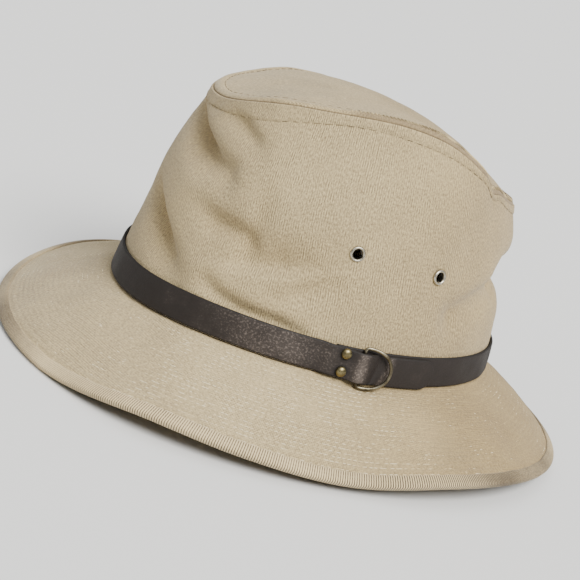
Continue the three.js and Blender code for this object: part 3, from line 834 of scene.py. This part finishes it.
def make_tip(context):
    columns, radius, down = 240, 0.55, 1.2
    rings = 26  # from the middle out to the fine rows
    inset = CROWN_WALL - 0.4 + radius
    fine = inset + 12 * np.linspace(1, 0, 22) ** 1.2
    curl = np.linspace(0, math.pi / 2, 5)[1:]
    curled = radius * (1 - np.cos(curl))

    def rows_from(start, share, sunk, shade):
        """Rows: how far in from the rim, a share of the way on to the middle, how far down and how much
        painted shade.
        """
        return np.stack(np.broadcast_arrays(start, share, sunk, shade), -1)

    table = np.concatenate([
        rows_from(fine[0], np.linspace(1, 0, rings, endpoint=False), 0, 0),
        rows_from(fine, 0, 0, 0),
        # The curl and the wall under the tip's edge get painted shade, for the crevice where it meets the
        # crown.
        rows_from(inset - radius * np.sin(curl), 0, curled, 0.55 * step(curled, 0.25, 0.5)),
        rows_from([inset - radius, inset - radius + 0.4], 0, radius + down, 0.7),
        rows_from(inset + 1.0, np.linspace(0, 1, rings + 1), TIP["wall"], 0),
    ])
    on_top = len(table) - rings - 1

    def place(column, row):
        turn = column * 360 / columns
        rim = np.linalg.norm(crown_cloth(turn, np.ones_like(turn))[:, :2], axis=1)
        start, share, sunk, shade = table[row].T
        inward = start + (rim - start) * share
        points = in_from_rim(turn, inward, -sunk)
        whipped = (row < on_top) * step(turn, 56, 64) * step(-turn, -208, -180)
        # The painted shade: the crevice rows, and between the whipped stitches near the tip's edge.
        seam = np.maximum(shade, 0.6 * whipped * step(-inward, -inset - 2.2, -inset - 1.6))
        return to_frame(points), points[:, :2] * MM, seam, 0.15 + soil_and_shade_round(turn, 0, 0.3)

    bm = layered(columns, len(table) - 1, place, ["seam", "soil_and_shade"])
    piece("crown_tip_cloth", bm, weave_of(context), ["crown_tip"], "hat")


def brim_rows(cotton):
    """How far out from the headline each row of stitching lies: the last one follows the binding."""
    even = BRIM["first_row"] + cotton.row_pitch / MM * np.arange(cotton.rows)
    return np.append(even, BRIM["width"] - BINDING["width"] - BINDING["to_row"])


def brim_relief(turn, along, cotton):
    """How far the brim's cloth puffs between its rows of stitching, and waves."""
    nearest = np.min(np.abs(along[..., None] - brim_rows(cotton)), axis=-1)
    point = brim_point(turn, along, 0.0)
    puff = cotton.channel / MM * (1 - np.exp(-((nearest / 0.7) ** 2)))
    free = step(along, 2.0, 12.0) * step(-along, -BRIM["width"] + 4, -BRIM["width"] + 14)
    pressed = 2.1 * bump(turn, RING["turn"] + 2, 5.5) * bump(along, 3.4, 4)  # by the ring's lower end
    wave = free * 0.35 * ripples(point, 44, 31) + 0.07 * ripples(point, 9, 32) - pressed
    return puff - cotton.channel / MM * 0.7, wave


def brim_cloth(turn, along, cotton):
    """The brim's top face."""
    puff, wave = brim_relief(turn, along, cotton)
    return brim_point(turn, along, puff + wave)


def make_brim(context):
    cotton = context.scene.fedora_cotton
    end = BRIM["width"] - BINDING["tape"] - GAP
    top = np.linspace(-BRIM["tuck"], end, 128)
    under = np.linspace(end, -BRIM["tuck"], 66)
    along_at = np.concatenate([top, under])
    lower = np.concatenate([top * 0, under * 0 + 1])

    def place(column, row):
        turn = column * 360 / COLUMNS
        row = row % len(along_at)
        along, below = along_at[row], lower[row]
        puff, wave = brim_relief(turn, along, cotton)
        points = brim_point(turn, along, np.where(below > 0, -BRIM["wall"] - puff * 0.6, puff) + wave)
        # Painted shade on the brim where it tucks in under the crown.
        shade = np.where(below > 0, 0, step(-along, -0.9, 0.3))
        cloth = np.stack([turn * 2.1, along + below * 80], -1) * MM
        return to_frame(points), cloth, shade, soil_and_shade_round(turn, 0.4, 0.95)

    bm = layered(COLUMNS, len(along_at), place, ["seam", "soil_and_shade"])
    piece("brim_cloth", bm, weave_of(context), ["brim"], "hat")


def make_binding(context):
    tape = context.scene.fedora_tape
    edge = BRIM["width"]
    inner, top = edge - BINDING["width"], GAP + BINDING["tape"]
    mean_radius, columns_per_rib = 146, 4
    columns = columns_per_rib * int(round(2 * math.pi * mean_radius / (tape.rib / MM)))
    # The tape's section: along, off, and how much a rib raises it along and off.
    section = np.array([
        (inner, -0.1, 0, 0), (inner + 0.05, top - 0.35, -0.3, 0.8), (inner + 0.5, top - 0.05, 0, 1),
        (inner + 1.6, top, 0, 1), (inner + 3.2, top + 0.05, 0, 1), (edge - 1.6, top, 0, 1),
        (edge - 0.75, top - 0.12, 0.3, 0.9), (edge - 0.2, top - 0.5, 0.8, 0.6), (edge, top - 1.1, 1, 0),
        (edge, UNDERSIDE + 0.9, 1, 0), (edge - 0.45, UNDERSIDE, 0.2, 0), (edge - 2.0, UNDERSIDE, 0, 0),
        (inner, UNDERSIDE, 0, 0), (inner, UNDERSIDE + 0.8, 0, 0), (edge - 0.8, UNDERSIDE + 0.8, 0, 0),
        (edge - 0.8, GAP, 0, 0),
    ])

    def place(column, row):
        row = row % len(section)
        along, off, raise_along, raise_off = section[row].T
        slant = (along - inner) * 0.11  # ribs lean a little
        turn = column * 360 / columns
        wave = np.cos((column / columns_per_rib + slant) * 2 * math.pi)
        ridge = (0.5 + 0.5 * wave) ** 0.8
        base = brim_point(turn, along, off)
        uneven = np.where(row < 3, 0.15 * ripples(base, 12, 41), 0)
        height = tape.relief / MM * (ridge - 0.75)
        points = brim_point(turn, along + raise_along * height + uneven, off + raise_off * height)
        feet = (row == 10) | (row == 11)  # the rows that the hat stands on
        rests = resting(turn, np.full_like(turn, edge)) > 0
        points[:, 2] = np.where(feet & rests, ORIGIN[2], points[:, 2])
        points[:, 2] = np.maximum(points[:, 2], ORIGIN[2])
        # The grooves between the ribs get strong painted shade on the hat's left and weaker painted shade
        # elsewhere; the tape also has uneven tone, painted shade at the hat's front and a darker back.
        clear = step(turn, 20, 45) * step(-turn, -118, -100) * 0.75 + 0.25
        worn = 0.02 + 0.08 * np.cos(np.radians(turn - 25)) + 0.08 * ripples(base, 60, 42)
        worn -= 0.14 * bump(turn, 128, 26) + 0.12 * bump(wrapped(turn), -5, 25)
        cloth = np.stack([turn * 2.55, row * 0.7], -1) * MM
        return to_frame(points), cloth, (ridge - 0.5) * clear + 0.48 + worn

    bm = layered(columns, len(section), place, ["ridge"])
    piece("binding_tape", bm, make_tape(tape), ["brim_binding"], "hat")


# The strap's section: a share of its width, millimetres past it, millimetres off the crown, and 1 on
# its face.
STRAP = np.array([
    (0, 0.0, 0.75, 0), (0, 0.08, 1.15, 0), (0, 0.35, 1.42, 1), (0, 0.9, 1.5, 1),
    (0.14, 0, 1.52, 1), (0.26, 0, 1.54, 1), (0.38, 0, 1.56, 1), (0.5, 0, 1.56, 1), (0.62, 0, 1.56, 1),
    (0.74, 0, 1.54, 1), (0.86, 0, 1.52, 1), (1, -0.9, 1.5, 1), (1, -0.35, 1.42, 1),
    (1, -0.08, 1.15, 0), (1, 0.0, 0.75, 0), (1, -0.25, 0.0, 0), (0, 0.25, 0.0, 0),
])


def make_strap(context):
    first, lapped, last = LAP["under_end"], 360 + LAP["under_end"] - LAP["ramp"], 360 + LAP["end"]
    tip = 3  # degrees of the rounded end, where the columns crowd together
    turns = np.concatenate([
        np.linspace(first, lapped, 330, endpoint=False),
        np.linspace(lapped, last - tip, 230, endpoint=False),
        last - tip * (1 - np.sin(np.linspace(0, math.pi / 2, 30))),
    ])
    low, up, out = band_frame(turns)
    stand = band_stand(turns)
    length = run_along(low)
    second = turns - 360
    drop = TONGUE["drop"] * step(second, TONGUE["drop_from"], TONGUE["drop_to"])
    past = np.clip((second - LAP["end"] + TONGUE["rounded"]) / TONGUE["rounded"], 0, 1)
    narrow = 1 - np.sqrt(np.clip(1 - past ** TONGUE["power"], 0, 1))
    inset = TONGUE["narrowing"] * narrow * BAND["width"] / 2

    def place(column, row):
        # The first and the last column are drawn together, and close the ends.
        i = np.clip(column.astype(int) - 1, 0, len(turns) - 1)
        share, past_edge, off, face = STRAP[row % len(STRAP)].T
        bottom, top = inset[i] - drop[i], BAND["width"] - inset[i] - drop[i]
        high = bottom + (top - bottom) * share + past_edge
        across = high / BAND["width"]
        # Where the strap bends down off the ring's bar it has a leaning crease, with a ridge after it.
        lean = RING["turn"] + 4.6 + 1.4 * (across - 0.5) - 1.2 * (across - 0.5) ** 2
        swell = face * (
            -0.75 * bump(second[i], lean, 0.75)
            + 0.55 * bump(second[i], lean + 2.6, 1.5) * step(-np.abs(across - 0.5), -0.42, -0.2)
            + 0.12 * bump(second[i], RING["turn"], 1.3)
        )
        point = low[i] + up[i] * high[:, None] + out[i] * (stand[i] + off + swell)[:, None]
        point += out[i] * (ripples(point, 24, 51) * 0.12 * face)[:, None]
        middle = low[i] + up[i] * ((bottom + top) / 2)[:, None] + out[i] * (stand[i] + 0.75)[:, None]
        end = (column == 0) | (column == len(turns) + 1)
        point = np.where(end[:, None], middle, point)
        turn = np.mod(turns[i], 360)
        # Worn lighter on the crest over the ring's bar and on the ridge after the crease; painted shade
        # darkens the crease; lighter round turn 58 and darker towards the front and the back.
        rub_and_shade = 0.9 * bump(second[i], RING["turn"] - 0.4, 1.6) + 0.7 * bump(second[i], lean + 2.9, 1.2)
        rub_and_shade += 0.5 * bump(turn, 58, 18) - 0.2 * bump(turn, 0, 25)
        rub_and_shade -= 0.1 * bump(turn, 120, 18) + 1.2 * bump(second[i], lean, 0.9)
        # The cut edges, the face's first row beside them and the ends are dark, and a ring of painted shadow
        # lies round each rivet.
        dark = 1 - face + 0.75 * (off == 1.42) + 0.8 * end
        for rivet_high in RIVETS.values():
            to_rivet = np.hypot((second[i] - RIVET["turn"]) * 1.5, high - rivet_high)
            dark += 0.8 * step(-to_rivet, -RIVET["cap"] / 2 - 1.2, -RIVET["cap"] / 2)
        return to_frame(point), np.stack([length[i], high], -1) * MM, rub_and_shade, np.clip(dark, 0, 1)

    bm = layered(len(turns) + 1, len(STRAP), place, ["rub_and_shade", "edge"])
    look = make_leather(context.scene.fedora_leather)
    piece("strap", bm, look, ["hat_band"], "hat")


def ring_path(count):
    """Even points along the ring's wire, which starts in the middle of its bar."""
    h, r, depth = RING["half_height"], RING["corner"], RING["depth"]

    def arc(cx, cy, start, end):
        a = np.linspace(start, end, 24)
        return np.stack([cx + r * np.cos(a), cy + r * np.sin(a)], -1)

    def bezier(*corners):
        t = np.linspace(0, 1, 60)[:, None]
        a, b, c, d = np.array(corners, float)
        return a * (1 - t) ** 3 + 3 * b * t * (1 - t) ** 2 + 3 * c * t * t * (1 - t) + d * t**3

    rough = np.concatenate([
        [(0, 0), (0, h - r)],
        arc(r, h - r, math.pi, math.pi / 2),
        bezier((2 * r, h), (depth * 0.72, h), (depth, h * 0.55), (depth, 0)),
        bezier((depth, 0), (depth, -h * 0.55), (depth * 0.72, -h), (2 * r, -h)),
        arc(r, r - h, -math.pi / 2, -math.pi),
        [(0, 0)],
    ])
    run = run_along(rough)
    even = np.linspace(0, run[-1], count, endpoint=False)
    return np.stack([np.interp(even, run, rough[:, i]) for i in (0, 1)], -1) - np.array([0, RING["hang"]])


def make_ring(context):
    metal = context.scene.fedora_metal
    steps, sides = 132, 14
    stand = BAND["off_crown"] + LAYER + RING["wire"] / 2
    hinge = seat_on_band(RING["turn"], BAND["width"] / 2 + RING["shift"], stand)
    joint = frame["joints"][0]
    if (hinge.translation - Vector(joint["pos_m"])).length > 0.5 * MM:
        raise RuntimeError(f"the ring's place {hinge.translation} isn't at its joint, {joint['pos_m']}")
    leaning = np.array(hinge @ Matrix.Rotation(-math.radians(RING["tilt"]), 4, "Y"))
    path = ring_path(steps)
    tangent = unit(np.roll(path, -1, 0) - np.roll(path, 1, 0))

    def place(column, row):
        i, angle = column.astype(int) % steps, 2 * math.pi * (row % sides) / sides
        # The wire is a little thicker at its lower corner, where it was joined.
        corner = np.hypot(path[i, 0] - 0.6, path[i, 1] + RING["hang"] + RING["half_height"] - 0.6)
        radius = RING["wire"] / 2 * (1 + 0.16 * bump(corner, 0, 1.6))
        normal = np.stack([-tangent[i, 1], tangent[i, 0]], -1)
        flat = path[i] + normal * (radius * np.cos(angle))[:, None]
        local = np.concatenate([flat, (radius * np.sin(angle))[:, None], np.ones((len(i), 1))], -1)
        return (local @ leaning.T)[:, :3], np.stack([column, row], -1) * 0.4 * MM

    bm = layered(steps, sides, place)
    look = make_metal("ring_brass", metal.ring, metal.tarnish, 0.06)
    piece("ring", bm, look, ["d_ring"], "ring")


def make_rivets(context):
    metal = context.scene.fedora_metal
    face = BAND["off_crown"] + LAYER + BAND["leather"]
    cap, rim, dome = RIVET["cap"] / 2, RIVET["rim"], RIVET["dome"]
    profile = [
        (0, -0.4), (cap - 0.5, -0.4), (cap - 0.2, -0.05),
        (cap - 0.05, 0.1), (cap, 0.3), (cap - 0.02, GAP + rim * 0.7),
    ]
    for angle in np.linspace(0, math.pi / 2, 12):
        profile.append(((cap - 0.08) * math.cos(angle), GAP + rim + dome * math.sin(angle)))
    look = make_metal("rivet_brass", [c * 0.75 for c in metal.brass], metal.tarnish, 0.0)
    for name, high in RIVETS.items():
        bm = turned(profile, 36, seat_on_band(RIVET["turn"], high, face))
        piece(name + "_cap", bm, look, [name], "hat")


def make_eyelets(context):
    metal = context.scene.fedora_metal
    outer, hole, barrel = EYELET["outer"] / 2, EYELET["hole"] / 2, EYELET["barrel"] / 2
    middle, half = (outer + hole) / 2, (outer - hole) / 2
    crest = EYELET["flange"] + EYELET["roll"] + 0.1
    front = -(CROWN_WALL + EYELET["back_gap"])  # the washer's faces
    back = front - EYELET["flange"]
    profile = [(hole, back), (outer - 0.3, back), (outer - 0.3, front), (barrel, front), (barrel, -0.1)]
    for angle in np.linspace(-0.3, math.pi, 12):
        profile.append((middle + half * math.cos(angle), crest * max(math.sin(angle), -0.15)))
    profile += [(hole + 0.02, -0.4), (hole, back)]
    look = make_metal("eyelet_metal", metal.nickel, [c * 0.45 for c in metal.nickel], -0.1)
    for name, (turn, rise) in EYELETS.items():
        bm = turned(profile, 36, seat_on_crown(turn, rise))
        piece(name + "_metal", bm, look, [name], "hat")


def make_stitching(context):
    cotton, thread = context.scene.fedora_cotton, context.scene.fedora_thread
    thick = thread.thread / MM
    light = make_thread("light_thread", thread.light, thread.sunk, 9.0)
    dark = make_thread("dark_thread", thread.dark, cotton.dark, 16.0)
    whip = make_thread("whip_thread", cotton.light, cotton.dark, 12.0)

    def side_line(turn, aside):
        below = around(TOPSTITCH_BELOW, turn) - aside
        return crown_cloth(turn, 1 - below / around(SEAM_HEIGHT, turn), 0.02)

    middles, along, up, _ = stitch_run(side_line, thread.stitch / MM, seed=1)
    bm = stitches(middles, along, up, thread.stitch / MM * 0.85, thick * 0.9, thick * 0.7)
    piece("crown_topstitch", bm, dark, [], "hat")

    def tip_line(turn, aside):
        return in_from_rim(turn, around(TIP_STITCH_INSET, turn) + aside, TIP_STITCH["off"])

    middles, along, up, _ = stitch_run(tip_line, TIP_STITCH["pitch"], seed=2)
    bm = stitches(middles, along, up, TIP_STITCH["length"], thick * 1.2, thick * 1.2)
    piece("tip_topstitch", bm, dark, [], "hat")

    def seam_line(turn, aside):
        return in_from_rim(turn, WHIPPING["inward"] + aside, WHIPPING["off"])

    # Whipped stitches lean across the tip's seam along the hat's left and back.
    start = WHIPPING["start"]
    middles, along, up, at = stitch_run(seam_line, WHIPPING["pitch"], start, WHIPPING["end"], seed=3)
    lean = unit(along - 0.9 * np.cross(up, along) - 0.15 * up)
    length = WHIPPING["length"] * (0.4 + 0.6 * step(at, start, start + 22))
    bm = stitches(middles, lean, up, length, WHIPPING["thick"], WHIPPING["thick"])
    piece("seam_whipping", bm, whip, [], "hat")

    rows = []
    for k, out in enumerate(brim_rows(cotton)):
        if k == 0:
            continue  # the first row, beside the strap, is only a groove

        def brim_line(turn, aside):
            return brim_cloth(turn, np.full_like(turn, out) - aside, cotton)

        pitch = thread.brim_stitch / MM * (0.9 + 0.2 * (k * 0.618 % 1))
        rows.append(stitch_run(brim_line, pitch, seed=100 + k, jitter=0.35))
    middles, along, up, at = (np.concatenate(column) for column in zip(*rows))
    rng = np.random.default_rng(5)
    length = thread.brim_stitch / MM * rng.uniform(0.65, 1.05, len(middles))
    # Away from the hat's left front the thread is sunk in the cloth, and its deepest stitches are hidden.
    aside = np.abs(wrapped(at - 62))
    sunk = 0.07 * ripples(middles, 17, 61) + 0.04 * rng.normal(size=len(middles)) - 0.04
    sunk += 0.2 * step(aside, 15, 45)
    seen = sunk < 0.14
    middles = middles - up * sunk[:, None]
    bm = stitches(middles[seen], along[seen], up[seen], length[seen], thick * 0.85, thick * 0.6)
    piece("brim_stitching", bm, light, [], "hat")


def towards(azimuth, elevation):
    """The direction of a place round the hat: azimuth 0 is in front of it, and 90 on the wearer's left."""
    azimuth, elevation = math.radians(azimuth), math.radians(elevation)
    level = math.cos(elevation)
    return Vector((math.sin(azimuth) * level, -math.cos(azimuth) * level, math.sin(elevation)))


def make_stage(context):
    stage = context.scene.fedora_stage
    bm = bmesh.new()
    bmesh.ops.create_grid(bm, x_segments=4, y_segments=4, size=stage.floor_size / 2)
    mesh = bpy.data.meshes.new("floor")
    bm.to_mesh(mesh)
    bm.free()
    mesh.materials.append(make_floor(stage))
    floor = bpy.data.objects.new("floor", mesh)
    context.scene.collection.objects.link(floor)

    # The light from all sides is weak below and strongest from above.
    world = bpy.data.worlds.new("studio")
    world.use_nodes = True
    tree = world.node_tree
    sky = tree.nodes["Background"]
    sky.inputs["Color"].default_value = (0.97, 0.985, 1.0, 1)
    kinds = ("TexCoord", "SeparateXYZ", "MapRange")
    way, parts, dome = (tree.nodes.new("ShaderNode" + kind) for kind in kinds)
    dome.interpolation_type = "SMOOTHERSTEP"
    weakest = stage.fill * 0.03
    for socket, value in (("From Min", -0.1), ("From Max", 1.1), ("To Min", weakest), ("To Max", stage.fill)):
        dome.inputs[socket].default_value = value
    tree.links.new(way.outputs["Generated"], parts.inputs[0])
    tree.links.new(parts.outputs["Z"], dome.inputs["Value"])
    tree.links.new(dome.outputs[0], sky.inputs["Strength"])
    context.scene.world = world

    sun = bpy.data.lights.new("key", "SUN")
    sun.energy, sun.angle, sun.color = stage.key, math.radians(SUN["width"]), SUN["colour"]
    key = bpy.data.objects.new("key", sun)
    key.rotation_euler = towards(SUN["azimuth"], SUN["elevation"]).to_track_quat("Z", "Y").to_euler()
    context.scene.collection.objects.link(key)

    back = towards(VIEW["azimuth"], VIEW["elevation"])
    right = (-back).cross(Vector((0, 0, 1))).normalized()
    over = right.cross(-back)
    roll = math.radians(VIEW["roll"])
    x = right * math.cos(roll) + over * math.sin(roll)
    y = over * math.cos(roll) - right * math.sin(roll)
    lens = bpy.data.cameras.new("view")
    lens.lens, lens.sensor_width = VIEW["lens"], VIEW["sensor"]
    lens.shift_x, lens.shift_y = VIEW["shift"]
    lens.clip_start, lens.clip_end = 0.05, 100
    camera = bpy.data.objects.new("view", lens)
    stand = Matrix.Translation(Vector(to_frame((0, 0, 0))) + back * VIEW["distance"])
    camera.matrix_world = stand @ Matrix([x, y, back]).transposed().to_4x4()
    context.scene.collection.objects.link(camera)
    context.scene.camera = camera


# ---- Operators, panel and registration ------------------------------------------------------


class FEDORA_OT_stage(Operator):
    """Makes the floor, the light and the camera"""

    bl_idname = "fedora.stage"
    bl_label = "Stage"

    def execute(self, context):
        make_stage(context)
        return {"FINISHED"}


class FEDORA_OT_crown(Operator):
    """Makes the crown's side"""

    bl_idname = "fedora.crown"
    bl_label = "Crown"

    def execute(self, context):
        make_crown(context)
        return {"FINISHED"}


class FEDORA_OT_tip(Operator):
    """Makes the crown's tip"""

    bl_idname = "fedora.tip"
    bl_label = "Tip"

    def execute(self, context):
        make_tip(context)
        return {"FINISHED"}


class FEDORA_OT_brim(Operator):
    """Makes the quilted brim"""

    bl_idname = "fedora.brim"
    bl_label = "Brim"

    def execute(self, context):
        make_brim(context)
        return {"FINISHED"}


class FEDORA_OT_binding(Operator):
    """Makes the ribbed tape round the brim's edge"""

    bl_idname = "fedora.binding"
    bl_label = "Binding"

    def execute(self, context):
        make_binding(context)
        return {"FINISHED"}


class FEDORA_OT_strap(Operator):
    """Makes the leather strap"""

    bl_idname = "fedora.strap"
    bl_label = "Strap"

    def execute(self, context):
        make_strap(context)
        return {"FINISHED"}


class FEDORA_OT_ring(Operator):
    """Makes the ring"""

    bl_idname = "fedora.ring"
    bl_label = "Ring"

    def execute(self, context):
        make_ring(context)
        return {"FINISHED"}


class FEDORA_OT_rivets(Operator):
    """Makes the two rivets"""

    bl_idname = "fedora.rivets"
    bl_label = "Rivets"

    def execute(self, context):
        make_rivets(context)
        return {"FINISHED"}


class FEDORA_OT_eyelets(Operator):
    """Makes the eyelets"""

    bl_idname = "fedora.eyelets"
    bl_label = "Eyelets"

    def execute(self, context):
        make_eyelets(context)
        return {"FINISHED"}


class FEDORA_OT_stitching(Operator):
    """Makes the rows of stitches"""

    bl_idname = "fedora.stitching"
    bl_label = "Stitching"

    def execute(self, context):
        make_stitching(context)
        return {"FINISHED"}


OPERATORS = [
    FEDORA_OT_stage,
    FEDORA_OT_crown,
    FEDORA_OT_tip,
    FEDORA_OT_brim,
    FEDORA_OT_binding,
    FEDORA_OT_strap,
    FEDORA_OT_ring,
    FEDORA_OT_rivets,
    FEDORA_OT_eyelets,
    FEDORA_OT_stitching,
]


class FEDORA_PT_panel(Panel):
    """The fedora's pieces and settings."""

    bl_label = "Fedora"
    bl_idname = "FEDORA_PT_panel"
    bl_space_type = "VIEW_3D"
    bl_region_type = "UI"
    bl_category = "Fedora"

    def draw(self, context):
        for kind in OPERATORS:
            self.layout.operator(kind.bl_idname)
        for name, group in GROUPS.items():
            box = self.layout.box()
            box.label(text=group.__doc__)
            for key in group.__annotations__:
                box.prop(getattr(context.scene, name), key)


def register():
    for name, group in GROUPS.items():
        bpy.utils.register_class(group)
        setattr(bpy.types.Scene, name, PointerProperty(type=group))
    for kind in [*OPERATORS, FEDORA_PT_panel]:
        bpy.utils.register_class(kind)


def unregister():
    for kind in [FEDORA_PT_panel, *reversed(OPERATORS)]:
        bpy.utils.unregister_class(kind)
    for name, group in reversed(GROUPS.items()):
        delattr(bpy.types.Scene, name)
        bpy.utils.unregister_class(group)


def main():
    register()
    for kind in OPERATORS:
        getattr(bpy.ops.fedora, kind.bl_idname.split(".")[1])()


if __name__ == "__main__":
    main()
